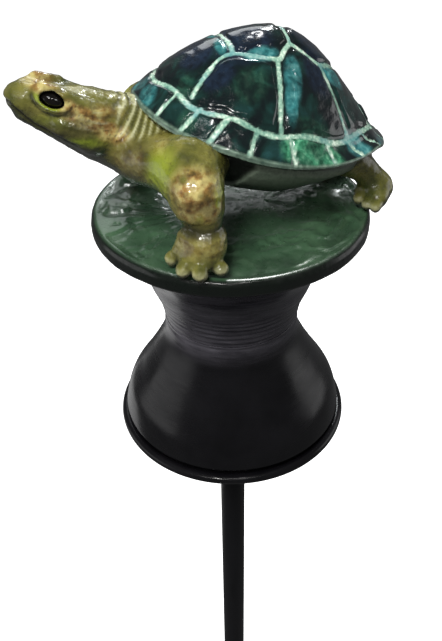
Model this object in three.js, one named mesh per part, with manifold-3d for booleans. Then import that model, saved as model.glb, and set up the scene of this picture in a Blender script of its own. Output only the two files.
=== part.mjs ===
// Garden hose guide: a waisted spool that spins on a steel stake, under a green disc with a turtle on it.
// Millimetres, +Z up. The origin is on the stake's axis at the soil line, and the turtle faces -Y.
import * as THREE from "three";
import { mergeVertices } from "three/addons/utils/BufferGeometryUtils.js";
import Module from "manifold-3d";

const wasm = await Module();
wasm.setup();

// ---- Driving dimensions -------------------------------------------------------------------------

const GAP = 0.3; // between two pieces that touch, and round the stake where the spool runs
const ROUND = 40; // segments of the large turned pieces
const SMALL = 20; // segments of the small ones

const STAKE_R = 5;
const STAKE_DEPTH = 240; // buried length
const STAKE_POINT = 25; // length of the sharpened end
const STAKE_TIP_R = 0.8;
const STUD_R = 4; // threaded upper end that holds the ornament
const COLLAR_R = 10;
const COLLAR_HEIGHT = 10;
const GRUB_R = 2.3;

const SPOOL_Z = 60; // underside of the spool above the soil line
const DISH_R = 41.8;
const BEAD_R = 1.85; // rolled rim of the dish
const FLOOR = 2.8; // top of the dish's floor above SPOOL_Z
const WALL = 2.5; // wall of the moulded shells
const WAIST = 46; // parting line of the two flared shells, above SPOOL_Z
const BORE_R = STAKE_R + GAP;
const WASHER_R = 9.5;
const BUSHING_R = 7.2;
const TUBE_R = 9;
const TUBE_HEIGHT = 70.5;
const LIP_R = 11; // swaged ends of the core tube
const LIP = 1.2;

const DECK_R = 44.56;
const DECK_THICKNESS = 6;
const DECK_TOP = SPOOL_Z + 87;
const BOSS_R = 13;
const INSERT_R = 5.5;

const SHELL = { length: 40, width: 30.4, height: 23.6, droop: 7.2, wall: 3, lip: 1.5 };
const SHELL_FLARE = 0.07; // how much longer it is behind, of its length
const SHELL_TUCK = 0.05; // and shorter in front
const SHELL_BROW = 3; // how far the front edge dips
const SHELL_SADDLE = 3.2; // hollow ahead of the flared rear edge
const SHELL_TAIL = 4; // how far the rear edge dips
const SHELL_PITCH = THREE.MathUtils.degToRad(14.8); // front end up
const SHELL_CENTRE = new THREE.Vector3(0, 9, 31.2); // above the deck
const BELLY = { length: 36, width: 27, depth: 19.5, wall: 2.5 };

const EYE = [5.7, -51.3, 43.3]; // left eye above the deck
const EYE_RADII = [3.3, 1.95, 2.3]; // along the lids, across them, outwards
const EYE_ALONG = [-0.232, -0.895, 0.38];
const EYE_OUT = [0.86, -0.005, 0.511];
const PIN_R = 1.5;
const PIN_HALF = 4;
const PIN_PLACES = { front: [31.5, -18.5], rear: [14.5, 38.5] }; // left feet

// ---- Materials ----------------------------------------------------------------------------------

function paint(color, roughness, metalness = 0) {
  return new THREE.MeshStandardMaterial({ color, roughness, metalness });
}

const finish = {
  stake: paint(0x2b2c2e, 0.5, 0.4),
  steel: paint(0x8d9093, 0.35, 0.9),
  brass: paint(0xb08d4a, 0.35, 0.9),
  nylon: paint(0xd8d4c8, 0.6),
  spool: paint(0x111216, 0.3),
  deck: paint(0x1c3324, 0.35),
  skin: paint(0x7d7c2e, 0.3),
  shell: paint(0x0b3a3a, 0.15),
  belly: paint(0x4e5c4c, 0.6),
  eye: paint(0x050505, 0.05),
};

// ---- Shapes and solids --------------------------------------------------------------------------

// A profile of [radius, height] points turned about Z: it runs up the outside and down the inside.
function turn(profile, segments = SMALL) {
  const points = profile.map(([r, z]) => new THREE.Vector2(r, z));
  return new THREE.LatheGeometry(points, segments).rotateX(Math.PI / 2);
}

// The section of a washer, collar or tube with its outer edges chamfered.
function ring(inner, outer, low, high, chamfer = 0.3) {
  return [
    [inner, low],
    [outer - chamfer, low],
    [outer, low + chamfer],
    [outer, high - chamfer],
    [outer - chamfer, high],
    [inner, high],
    [inner, low],
  ];
}

function arc(r, z, radius, fromDegrees, toDegrees, steps) {
  return Array.from({ length: steps + 1 }, (_, i) => {
    const angle = THREE.MathUtils.degToRad(THREE.MathUtils.lerp(fromDegrees, toDegrees, i / steps));
    return [r + radius * Math.cos(angle), z + radius * Math.sin(angle)];
  });
}

// The section of a moulded wall whose outside follows a smooth curve up through the given points.
function wallSection(points, steps) {
  const curve = new THREE.SplineCurve(points.map(([r, z]) => new THREE.Vector2(r, z)));
  const outside = curve.getPoints(steps).map((p) => [p.x, p.y]);
  const inside = outside.map(([r, z], i) => {
    const along = curve.getTangent(i / steps);
    return [r - WALL * along.y, z + WALL * along.x];
  });
  return [...outside, ...inside.reverse(), outside[0]];
}

function mesh(name, geometry, material) {
  const made = new THREE.Mesh(geometry, material);
  made.name = name;
  return made;
}

function solid(geometry) {
  const bare = geometry.clone();
  bare.deleteAttribute("normal");
  bare.deleteAttribute("uv");
  const merged = mergeVertices(bare, 1e-3);
  const vertProperties = merged.getAttribute("position").array;
  const triVerts = new Uint32Array(merged.index.array);
  return new wasm.Manifold(new wasm.Mesh({ numProp: 3, vertProperties, triVerts }));
}

function geometryOf(body) {
  const { vertProperties, triVerts } = body.getMesh();
  const geometry = new THREE.BufferGeometry();
  geometry.setAttribute("position", new THREE.BufferAttribute(vertProperties, 3));
  geometry.setIndex(new THREE.BufferAttribute(triVerts, 1));
  geometry.computeVertexNormals();
  return geometry;
}

const join = (bodies) => bodies.reduce((whole, next) => whole.add(next));
const cut = (body, tools) => tools.reduce((rest, tool) => rest.subtract(tool), body);
const largest = (body) => body.decompose().reduce((a, b) => (a.volume() > b.volume() ? a : b));

// A round bar along Z, centred on a point.
function bar(radius, length, centre, segments = SMALL) {
  const shape = new THREE.CylinderGeometry(radius, radius, length, segments);
  return solid(shape.rotateX(Math.PI / 2).translate(...centre));
}

// ---- Stake, collar and washers ------------------------------------------------------------------

function stakeRod() {
  const shoulder = SPOOL_Z + 73.8;
  const top = SPOOL_Z + 84;
  const profile = [
    [0, -STAKE_DEPTH],
    [STAKE_TIP_R, -STAKE_DEPTH],
    [STAKE_R, STAKE_POINT - STAKE_DEPTH],
    [STAKE_R, shoulder],
    [STUD_R, shoulder],
    [STUD_R, top - 0.8],
    [STUD_R - 0.8, top],
    [0, top],
  ];
  return mesh("stake_rod", turn(profile, 24), finish.stake);
}

const COLLAR_Z = SPOOL_Z - 3.6 - COLLAR_HEIGHT / 2;

function stopCollar() {
  const half = COLLAR_HEIGHT / 2;
  const body = solid(turn(ring(BORE_R, COLLAR_R, -half, half, 0.8), 32));
  const hole = bar(GRUB_R + GAP, COLLAR_R, [0, 0, COLLAR_R]).rotate([90, 0, 0]);
  const collar = mesh("stop_collar", geometryOf(cut(body, [hole])), finish.steel);
  collar.position.z = COLLAR_Z;
  return collar;
}

// Headless screw with a coned point and a hexagon socket, screwed in from the front of the collar.
function grubScrew() {
  const tip = BORE_R;
  const end = COLLAR_R - 0.4;
  const cone = GRUB_R / 2;
  const profile = [
    [0, tip],
    [cone, tip],
    [GRUB_R, tip + cone],
    [GRUB_R, end],
    [0, end],
  ];
  const socket = bar(cone, 3, [0, 0, end], 6);
  const screw = mesh("collar_grub_screw", geometryOf(cut(solid(turn(profile)), [socket])), finish.steel);
  screw.rotation.x = Math.PI / 2;
  screw.position.z = COLLAR_Z;
  return screw;
}

function washer(name, low) {
  const section = ring(BORE_R, WASHER_R, SPOOL_Z + low, SPOOL_Z + low + 1.2, 0.2);
  return mesh(name, turn(section, 24), finish.steel);
}

// ---- Spool: everything here turns on the stake --------------------------------------------------

function bushing(name, flangeLow, flangeHigh, barrelEnd) {
  const outward = barrelEnd > flangeHigh;
  const low = [
    [BORE_R, flangeLow],
    [LIP_R - 0.5, flangeLow],
    [LIP_R - 0.5, flangeHigh],
    [BUSHING_R, flangeHigh],
    [BUSHING_R, barrelEnd],
    [BORE_R, barrelEnd],
  ];
  const high = [
    [BORE_R, barrelEnd],
    [BUSHING_R, barrelEnd],
    [BUSHING_R, flangeLow],
    [LIP_R - 0.5, flangeLow],
    [LIP_R - 0.5, flangeHigh],
    [BORE_R, flangeHigh],
  ];
  const section = outward ? low : high;
  return mesh(name, turn([...section, section[0]], 24), finish.nylon);
}

// Thin tube with a lip swaged outwards at each end, which clamps the dish and the top plate.
function coreTube() {
  const bore = BUSHING_R + GAP;
  const section = [
    [bore, 0],
    [LIP_R, 0],
    [LIP_R, LIP],
    [TUBE_R, LIP],
    [TUBE_R, TUBE_HEIGHT - LIP],
    [LIP_R, TUBE_HEIGHT - LIP],
    [LIP_R, TUBE_HEIGHT],
    [bore, TUBE_HEIGHT],
    [bore, 0],
  ];
  return mesh("core_tube", turn(section, 24), finish.steel);
}

// Shallow round dish with a rolled bead for a rim.
function baseDish() {
  const under = LIP + GAP;
  const bead = arc(DISH_R - BEAD_R, BEAD_R, BEAD_R, -150, 150, 8);
  const hole = TUBE_R + GAP;
  const section = [[hole, under], [DISH_R - 7, under], ...bead, [DISH_R - 6, FLOOR], [hole, FLOOR]];
  return mesh("spool_base_dish", turn([...section, section[0]], ROUND), finish.spool);
}

function flaredShell(name, outline, steps) {
  return mesh(name, turn(wallSection(outline, steps), ROUND), finish.spool);
}

function topPlate() {
  const section = ring(TUBE_R + GAP, 26.2, TUBE_HEIGHT - 4, TUBE_HEIGHT - LIP - GAP);
  return mesh("spool_top_plate", turn(section, 32), finish.spool);
}

function spool() {
  const bell = [
    [37.6, FLOOR + GAP],
    [39.1, 4.6],
    [39.5, 7],
    [37.2, 15],
    [32.2, 23],
    [27.5, 31],
    [23.8, 39],
    [23.1, WAIST],
  ];
  const neck = [
    [23.1, WAIST + GAP],
    [24.5, 53],
    [27.2, 60],
    [29.6, 67],
    [33.4, 73],
    [37.2, 76.6],
    [38, 79],
  ];
  const group = new THREE.Group();
  group.position.z = SPOOL_Z;
  group.add(
    coreTube(),
    baseDish(),
    flaredShell("spool_bell", bell, 9),
    flaredShell("spool_neck", neck, 7),
    topPlate(),
    bushing("lower_bushing", -1.8, -GAP, 12),
    bushing("upper_bushing", TUBE_HEIGHT + GAP, TUBE_HEIGHT + 1.8, TUBE_HEIGHT - 12),
  );
  return group;
}

// ---- Base disc of the ornament ------------------------------------------------------------------

// Both feet of a pair, as [name, x, y].
const pinPlaces = Object.entries(PIN_PLACES).flatMap(([name, [x, y]]) => [
  [`${name}_left_foot_pin`, x, y],
  [`${name}_right_foot_pin`, -x, y],
]);

const pinTool = (x, y) => bar(PIN_R + GAP, 2 * (PIN_HALF + GAP), [x, y, 0], 12);

// Heights below are from the deck's top face.
function baseDisc() {
  const round = 1.6;
  const profile = [
    [0, -11.4],
    [BOSS_R, -11.4],
    [BOSS_R, -DECK_THICKNESS],
    [DECK_R - round, -DECK_THICKNESS],
    ...arc(DECK_R - round, -round, round, 0, 90, 3),
    [0, 0],
  ];
  const socket = bar(INSERT_R + GAP, 10.1, [0, 0, -6.35], 24);
  const pins = pinPlaces.map(([, x, y]) => pinTool(x, y));
  const body = cut(solid(turn(profile, ROUND)), [socket, ...pins]);
  return mesh("base_disc", geometryOf(body), finish.deck);
}

// Brass insert with a flange under the boss; its blind thread takes the stake's stud.
function threadedInsert() {
  const flange = -11.4 - GAP;
  const profile = [
    [STUD_R + GAP, flange - 1.2],
    [7.5, flange - 1.2],
    [7.5, flange],
    [INSERT_R, flange],
    [INSERT_R, -1.6],
    [0, -1.6],
    [0, -2.6],
    [STUD_R + GAP, -2.6],
    [STUD_R + GAP, flange - 1.2],
  ];
  return mesh("threaded_insert", turn(profile, 24), finish.brass);
}

function footPins() {
  return pinPlaces.map(([name, x, y]) => {
    const pin = mesh(name, turn(ring(0, PIN_R, -PIN_HALF, PIN_HALF).slice(0, -1), 12), finish.steel);
    pin.position.set(x, y, 0);
    return pin;
  });
}

// ---- Turtle -------------------------------------------------------------------------------------

// A limb segment: the hull of a ball of radius ra at a and one of radius rb at b, each [x, y, z].
function limb([ax, ay, az, ra], [bx, by, bz, rb], grow) {
  const a = new THREE.Vector3(ax, ay, az);
  const along = new THREE.Vector3(bx, by, bz).sub(a);
  const length = along.length();
  const slope = THREE.MathUtils.radToDeg(Math.asin((ra - rb) / length));
  const profile = [...arc(0, 0, ra + grow, -90, slope, 3), ...arc(0, length, rb + grow, slope, 90, 3)];
  profile[0][0] = 0;
  profile[profile.length - 1][0] = 0;
  const shape = turn(profile, ra > 6 ? 12 : 8);
  shape.applyQuaternion(new THREE.Quaternion().setFromUnitVectors(new THREE.Vector3(0, 0, 1), along.normalize()));
  return solid(shape.translate(ax, ay, az));
}

// Chains of balls [x, y, z, radius] above the deck. Chains of the left side are repeated on the right.
const MIDDLE_CHAINS = [
  [[0, -14, 24, 14], [0, -25, 26.5, 11.8], [0, -34, 29.8, 9.8], [0, -41, 34.2, 8.9], [0, -57.4, 42.6, 5.2]],
  [[0, -57.4, 42.6, 5.2], [0, -60, 43.7, 3.4]],
  [[0, 34, 16, 6], [0, 46, 9, 2.2]],
];
const SIDE_CHAINS = [
  [[0, -42, 35, 8], [2.6, -48, 40.6, 6.8], [2, -54.5, 43.2, 5]],
  [[14, -14, 26, 10], [21.5, -18, 25.5, 8.8], [27.4, -19.5, 22.5, 7.8], [30, -19, 17, 7]],
  [[30, -19, 17, 7], [31.4, -19.2, 12.6, 5.8], [33, -19.8, 6, 6.4]],
  [[33, -20, 5, 5.5], [29, -27.2, 2.8, 2.6]],
  [[33, -20, 5, 5.5], [35.5, -26, 2.8, 2.6]],
  [[33, -20, 5, 5.5], [39.2, -22.3, 2.8, 2.6]],
  [[33, -20, 5, 5.5], [38.4, -15.9, 2.7, 2.5]],
  [[11, 28, 20, 8], [13.5, 35, 17, 6.2], [14.2, 40.6, 12.5, 4.8], [15.6, 43.3, 5.4, 4.8]],
  [[15.6, 43.3, 5, 4.8], [15, 39.5, 3.8, 3.8]],
  [[15.6, 43.3, 5, 4.8], [18.8, 41.4, 4, 4]],
  [[15, 39.5, 3.8, 3.8], [16.2, 37.2, 2.8, 2.3]],
  [[18.8, 41.4, 4, 4], [20, 37.8, 2.8, 2.3]],
  [[18.8, 41.4, 4, 4], [22.4, 39.4, 2.8, 2.3]],
];

function chainParts(chain, grow) {
  return chain.slice(1).map((ball, i) => limb(chain[i], ball, grow));
}

function torso(grow) {
  const shape = new THREE.SphereGeometry(1, 16, 8);
  return solid(shape.scale(20 + grow, 9 + grow, 30 + grow).rotateX(Math.PI / 2).translate(0, 6, 22));
}

function limbsAndNeck(grow) {
  const mirrored = SIDE_CHAINS.map((chain) => chain.map(([x, y, z, r]) => [-x, y, z, r]));
  const chains = [...MIDDLE_CHAINS, ...SIDE_CHAINS, ...mirrored];
  return join([torso(grow), ...chains.flatMap((chain) => chainParts(chain, grow))]);
}

// How far a sheet of the shell sinks at its sides, at its ends and in the hollow behind.
function sag(side, back, saddle) {
  const { smoothstep } = THREE.MathUtils;
  const k = Math.hypot(side, back);
  const brow = SHELL_BROW * smoothstep(-back, 0.35, 1) * k ** 2;
  const hollow = smoothstep(back, 0, 0.7) * smoothstep(k, 0.15, 0.75) * (1 - smoothstep(k, 0.88, 1.02));
  return SHELL.droop * side ** 2 + brow + saddle * hollow + SHELL_TAIL * smoothstep(back, 0.75, 1);
}

// Bends a round blank of unit radius into an oval that sags, shorter ahead of its middle and longer behind.
// The form is the oval whose own sag it follows.
function bend(geometry, length, width, saddle, form = { length, width }) {
  const p = geometry.getAttribute("position");
  for (let i = 0; i < p.count; i += 1) {
    const side = p.getX(i);
    const back = p.getY(i);
    const stretch = 1 + (back > 0 ? SHELL_FLARE : -SHELL_TUCK) * back ** 2;
    const z = p.getZ(i) - sag((side * width) / form.width, (back * length) / form.length, saddle);
    p.setXYZ(i, width * side * (1 + 0.03 * back), length * back * stretch, z);
  }
  return geometry;
}

// A domed wall of unit radius: its upper face has the given height at each radius, each face has its own scale,
// and at the rim the lower face ends a lip's height below the upper one.
function wallBlank(height, thickness, lip, lowScale, highScale, steps = 7) {
  const radii = Array.from({ length: steps + 1 }, (_, i) => Math.sin((Math.PI / 2) * (i / steps)));
  const low = radii.map((k) => [k * lowScale, height(k) - THREE.MathUtils.lerp(thickness, lip, k ** 20)]);
  const high = radii.map((k) => [k * highScale, height(k)]);
  const rim = [Math.max(lowScale, highScale), height(1) - lip];
  return turn([...low, rim, ...high.reverse()], ROUND);
}

// From the shell's own frame, with its rim level, to its place over the deck.
function placed(geometry) {
  return solid(geometry.rotateX(-SHELL_PITCH).translate(...SHELL_CENTRE));
}

// The dome, or with grow the space that it needs.
function carapace(grow = 0) {
  const thickness = SHELL.wall + 2 * grow;
  const width = SHELL.width + grow;
  const height = (k) => SHELL.lip + grow + (SHELL.height - SHELL.lip) * (1 - k ** 1.6);
  const blank = wallBlank(height, thickness, SHELL.lip + 2 * grow, 1 - thickness / width, 1);
  return placed(bend(blank, SHELL.length + grow, width, SHELL_SADDLE, SHELL));
}

// The belly plate is a bowl under the dome, cut away round the limbs and the neck.
function plastron() {
  const height = (k) => BELLY.wall - BELLY.depth + (BELLY.depth - BELLY.wall - 0.6) * k ** 4;
  const blank = wallBlank(height, BELLY.wall, 0.4, 1, 1 - BELLY.wall / BELLY.width);
  const bowl = placed(bend(blank, BELLY.length, BELLY.width, 0));
  return largest(cut(bowl, [limbsAndNeck(GAP + 0.1), carapace(GAP)]));
}

// An eye on the left (hand 1) or on the right (hand -1), or with grow the socket that it needs.
function eyeShape(hand, grow) {
  const [along, out] = [EYE_ALONG, EYE_OUT].map(([x, y, z]) => new THREE.Vector3(hand * x, y, z).normalize());
  const across = new THREE.Vector3().crossVectors(out, along).normalize();
  const [a, b, c] = EYE_RADII.map((radius) => radius + grow);
  const [x, y, z] = EYE;
  return new THREE.SphereGeometry(1, 12, 8)
    .scale(a, b, c)
    .applyMatrix4(new THREE.Matrix4().makeBasis(along, across, out))
    .translate(hand * x, y, z);
}

function turtle() {
  const below = solid(new THREE.BoxGeometry(200, 200, 40).translate(0, 0, GAP - 20));
  const sockets = [1, -1].map((hand) => solid(eyeShape(hand, GAP)));
  const pins = pinPlaces.map(([, x, y]) => pinTool(x, y));
  const body = largest(cut(limbsAndNeck(0), [carapace(GAP), below, ...sockets, ...pins]));
  return [
    mesh("turtle_body", geometryOf(body), finish.skin),
    mesh("carapace", geometryOf(carapace()), finish.shell),
    mesh("plastron", geometryOf(plastron()), finish.belly),
    mesh("left_eye", eyeShape(1, 0), finish.eye),
    mesh("right_eye", eyeShape(-1, 0), finish.eye),
  ];
}

// ---- Assembly -----------------------------------------------------------------------------------

const ornament = new THREE.Group();
ornament.position.z = DECK_TOP;
ornament.add(baseDisc(), threadedInsert(), ...footPins(), ...turtle());

const hoseGuide = new THREE.Group();
hoseGuide.add(
  stakeRod(),
  stopCollar(),
  grubScrew(),
  washer("lower_thrust_washer", -3.3),
  washer("upper_thrust_washer", TUBE_HEIGHT + 2.1),
  spool(),
  ornament,
);

export default hoseGuide;
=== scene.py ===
"""Looks of a garden hose guide: a painted turtle on a green disc, a black spool and a steel stake.

Lengths are in millimetres until a mesh is made, and heights of the ornament are above the disc's top face.
The turtle faces -Y and its left is +X.
"""
import itertools

import bpy
import numpy as np
from mathutils import Matrix, Vector


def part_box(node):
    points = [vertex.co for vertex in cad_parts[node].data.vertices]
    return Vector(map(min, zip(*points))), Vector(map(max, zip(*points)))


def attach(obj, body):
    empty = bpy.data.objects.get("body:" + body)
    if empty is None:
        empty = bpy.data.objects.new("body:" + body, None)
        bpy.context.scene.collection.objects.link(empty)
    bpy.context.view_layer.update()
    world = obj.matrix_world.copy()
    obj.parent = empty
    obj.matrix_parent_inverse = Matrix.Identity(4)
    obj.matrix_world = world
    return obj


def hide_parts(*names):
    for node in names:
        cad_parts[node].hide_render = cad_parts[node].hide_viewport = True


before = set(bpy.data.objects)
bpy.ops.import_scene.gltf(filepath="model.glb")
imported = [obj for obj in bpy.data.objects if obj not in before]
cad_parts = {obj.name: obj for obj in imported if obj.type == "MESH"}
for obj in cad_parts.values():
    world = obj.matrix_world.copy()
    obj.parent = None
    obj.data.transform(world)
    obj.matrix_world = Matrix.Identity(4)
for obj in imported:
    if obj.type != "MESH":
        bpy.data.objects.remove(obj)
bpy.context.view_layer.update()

MM = 0.001
UP = np.array([0.0, 0.0, 1.0])


def low(node):
    return np.array(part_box(node)[0]) / MM


def high(node):
    return np.array(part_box(node)[1]) / MM


DECK_TOP = high("base_disc")[2]
DECK_R = high("base_disc")[0]
SPOOL_Z = low("core_tube")[2]
DISH_R = high("spool_base_dish")[0]
STAKE_R = high("stake_rod")[0]
WAIST = high("spool_bell")[2] - SPOOL_Z
BORE_R = STAKE_R + 0.3


# ---- Noise and small helpers --------------------------------------------------------------------

def lattice(cell, seed):
    """A repeatable number from -1 to 1 for each whole-numbered point."""
    n = (cell[:, 0] * 73856093) ^ (cell[:, 1] * 19349663) ^ (cell[:, 2] * 83492791) ^ (seed * 26544357)
    n = ((n ^ (n >> 13)) * 1274126177) & 0xFFFFFFFF
    return ((n ^ (n >> 16)) & 0xFFFF) / 32767.5 - 1


def noise(points, scale, seed):
    """Smooth noise from -1 to 1 with lumps of about the given size."""
    place = np.asarray(points, float) / scale
    base = np.floor(place).astype(np.int64)
    part = place - base
    part = part * part * (3 - 2 * part)
    total = np.zeros(len(place))
    for corner in itertools.product((0, 1), repeat=3):
        weight = np.prod(np.where(corner, part, 1 - part), axis=1)
        total += weight * lattice(base + np.array(corner), seed)
    return total


def fractal(points, scale, seed, octaves):
    layers = [noise(points, scale / 2**i, seed + i) / 2**i for i in range(octaves)]
    return sum(layers) / sum(1 / 2**i for i in range(octaves))


def xyz(x, y, z):
    return np.stack([x, y, z], -1)


def smooth(low_end, high_end, value):
    """0 below the low end, 1 above the high end, and a smooth step between them."""
    t = np.clip((value - low_end) / (high_end - low_end), 0, 1)
    return t * t * (3 - 2 * t)


def hump(value, centre, width):
    return np.exp(-(((value - centre) / width) ** 2))


def folds(value, length):
    """Waves from 0 to 1, one to each given length."""
    return 0.5 + 0.5 * np.sin(2 * np.pi * value / length)


def to_segment(points, a, b):
    """Distance of each point to the segment a to b, and how far along that its nearest point is, 0 to 1."""
    a, b = np.asarray(a, float), np.asarray(b, float)
    along = np.clip((points - a) @ (b - a) / np.dot(b - a, b - a), 0, 1)
    return np.linalg.norm(points - a - along[..., None] * (b - a), axis=-1), along


def to_path(points, path):
    return np.min([to_segment(points, a, b)[0] for a, b in zip(path, path[1:])], axis=0)


# ---- Making objects -----------------------------------------------------------------------------

def placed(name, data):
    made = bpy.data.objects.new(name, data)
    bpy.context.scene.collection.objects.link(made)
    return made


def make(name, vertices, faces, body, replaces, material, attributes=None):
    """A smooth-shaded mesh, given in millimetres, that rides on a body and stands for CAD nodes."""
    mesh = bpy.data.meshes.new(name)
    mesh.from_pydata((np.asarray(vertices) * MM).tolist(), [], [list(map(int, f)) for f in faces])
    mesh.polygons.foreach_set("use_smooth", [True] * len(mesh.polygons))
    for key, values in (attributes or {}).items():
        mesh.attributes.new(key, "FLOAT", "POINT").data.foreach_set("value", np.asarray(values, np.float32))
    mesh.materials.append(material)
    mesh.update()
    made = placed(name, mesh)
    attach(made, body)
    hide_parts(*replaces)
    return made


def grid_faces(rows, columns, loop=False):
    """Quads of a grid of vertices, row after row. Each row closes on itself, and a loop of rows does too."""
    r, c = np.meshgrid(np.arange(rows if loop else rows - 1), np.arange(columns), indexing="ij")
    above, right = (r + 1) % rows, (c + 1) % columns
    corners = ((r, c), (r, right), (above, right), (above, c))
    return np.stack([row * columns + column for row, column in corners], -1).reshape(-1, 4).tolist()


def fan(start, columns, tip, forwards):
    """Triangles from a ring of vertices to the one at its middle, wound forwards or backwards."""
    here = np.arange(columns)
    after = (here + 1) % columns
    pair = (here, after) if forwards else (after, here)
    return [[int(a) + start, int(b) + start, tip] for a, b in zip(*pair)]


def turned(section, segments):
    """Vertices and faces of a [radius, height] section turned about Z. It runs up the outside.

    Ends on the axis are closed by a fan, and a section that ends where it starts closes on itself.
    """
    section = np.asarray(section, float)
    loop = np.allclose(section[0], section[-1])
    rows = section[:-1] if loop else section
    capped = [i for i in (0, len(rows) - 1) if not loop and rows[i][0] < 1e-6]
    rings = np.array([row for i, row in enumerate(rows) if i not in capped])
    angle = np.arange(segments) * 2 * np.pi / segments
    x, y = rings[:, :1] * np.cos(angle), rings[:, :1] * np.sin(angle)
    vertices = xyz(x, y, np.broadcast_to(rings[:, 1:], x.shape)).reshape(-1, 3)
    faces = grid_faces(len(rings), segments, loop)
    for i in capped:
        vertices = np.vstack([vertices, [0, 0, rows[i][1]]])
        faces += fan((len(rings) - 1) * segments if i else 0, segments, len(vertices) - 1, i > 0)
    return vertices, faces


def spline(points, steps):
    """A smooth curve through the points, with the given number of steps from each to the next."""
    points = np.asarray(points, float)
    padded = np.vstack([2 * points[0] - points[1], points, 2 * points[-1] - points[-2]])
    curve = []
    for p0, p1, p2, p3 in zip(padded, padded[1:], padded[2:], padded[3:]):
        for t in np.arange(steps) / steps:
            curve.append(0.5 * (2 * p1 + (p2 - p0) * t + (2 * p0 - 5 * p1 + 4 * p2 - p3) * t**2
                                + (3 * p1 - p0 - 3 * p2 + p3) * t**3))
    return np.array(curve + [points[-1]])


def arc(centre, radius, start, end, steps):
    angle = np.radians(np.linspace(start, end, steps + 1))
    return np.stack([centre[0] + radius * np.cos(angle), centre[1] + radius * np.sin(angle)], -1)


def softened(section, radius, steps=3):
    """The closed or open section with each corner rounded off, but for those that are nearly straight."""
    straight = np.cos(np.radians(160))
    section = [np.asarray(p, float) for p in section]
    closed = np.allclose(section[0], section[-1])
    corners = section[:-1] if closed else section
    rounded = []
    for i, here in enumerate(corners):
        if not closed and i in (0, len(corners) - 1):
            rounded.append(here)
            continue
        before, after = corners[i - 1], corners[(i + 1) % len(corners)]
        sides = [(p - here) / np.linalg.norm(p - here) for p in (before, after)]
        if sides[0] @ sides[1] < straight:
            rounded.append(here)
            continue
        reach = min(radius, *(np.linalg.norm(p - here) / 2.2 for p in (before, after)))
        a, b = here + sides[0] * reach, here + sides[1] * reach
        for t in np.linspace(0, 1, steps + 1):
            rounded.append((1 - t) ** 2 * a + 2 * t * (1 - t) * here + t**2 * b)
    return np.array(rounded + [rounded[0]] if closed else rounded)


# ---- Distance fields ----------------------------------------------------------------------------

def round_cone(p, a, b):
    """Distance to a limb with a ball [x, y, z, radius] at each end."""
    distance, along = to_segment(p, a[:3], b[:3])
    return distance - (a[3] + (b[3] - a[3]) * along)


def ellipsoid(p, centre, radii):
    q = (p - np.asarray(centre, float)) / radii
    k0 = np.linalg.norm(q, axis=-1)
    k1 = np.linalg.norm(q / radii, axis=-1)
    return k0 * (k0 - 1) / np.maximum(k1, 1e-6)


def blend_in(field, part, width):
    """The smooth union of two fields."""
    h = np.maximum(width - np.abs(field - part), 0) / width
    return np.minimum(field, part) - h * h * width / 4


def surface_net(field, origin, step):
    """The zero surface of a sampled field, with one vertex in each cell that it crosses."""
    shape = np.array(field.shape) - 1
    corners = [np.array(c) for c in itertools.product((0, 1), repeat=3)]
    inside = field < 0
    count = sum(inside[c[0]:c[0] + shape[0], c[1]:c[1] + shape[1], c[2]:c[2] + shape[2]].astype(np.int8)
                for c in corners)
    crossed = (count > 0) & (count < 8)
    index = np.full(shape, -1)
    index[crossed] = np.arange(crossed.sum())
    cells = np.argwhere(crossed)
    total, hits = np.zeros((len(cells), 3)), np.zeros(len(cells))
    for a, b in itertools.combinations(corners, 2):
        if np.abs(a - b).sum() != 1:
            continue
        fa, fb = field[tuple((cells + a).T)], field[tuple((cells + b).T)]
        change = (fa < 0) != (fb < 0)
        t = (fa / np.where(change, fa - fb, 1))[:, None]
        total += np.where(change[:, None], a + t * (b - a), 0)
        hits += change
    vertices = origin + step * (cells + total / hits[:, None])
    faces = []
    for axis in range(3):
        u, v = (axis + 1) % 3, (axis + 2) % 3
        ahead = np.roll(inside, -1, axis)
        edges = np.argwhere(inside != ahead)
        edges = edges[(edges[:, axis] < shape[axis]) & (edges[:, u] > 0) & (edges[:, v] > 0)
                      & (edges[:, u] < shape[u]) & (edges[:, v] < shape[v])]
        back_u, back_v = np.eye(3, dtype=int)[u], np.eye(3, dtype=int)[v]
        ring = [edges - back_u - back_v, edges - back_v, edges, edges - back_u]
        quads = np.stack([index[tuple(e.T)] for e in ring], -1)
        leaving = inside[tuple(edges.T)]
        faces.append(np.where(leaving[:, None], quads, quads[:, ::-1]))
    return vertices, np.vstack(faces)


def gathered(places, values, count):
    """The sum of the values that go to each place."""
    return xyz(*(np.bincount(places, column, count) for column in values.T))


def relaxed(vertices, faces, rounds, amount=0.5):
    """The vertices after some rounds of moving each one towards the middle of those joined to it."""
    pairs = np.vstack([faces[:, [i, (i + 1) % 4]] for i in range(4)])
    a, b = np.unique(np.sort(pairs, 1), axis=0).T
    count = len(vertices)
    degree = np.bincount(a, minlength=count) + np.bincount(b, minlength=count)
    for _ in range(rounds):
        total = gathered(a, vertices[b], count) + gathered(b, vertices[a], count)
        vertices = vertices + amount * (total / degree[:, None] - vertices)
    return vertices


def normals(vertices, faces):
    corner = [vertices[faces[:, i]] for i in range(4)]
    across = np.cross(corner[2] - corner[0], corner[3] - corner[1])
    total = sum(gathered(faces[:, i], across, len(vertices)) for i in range(4))
    return total / np.maximum(np.linalg.norm(total, axis=1), 1e-9)[:, None]


# ---- Materials ----------------------------------------------------------------------------------

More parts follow.
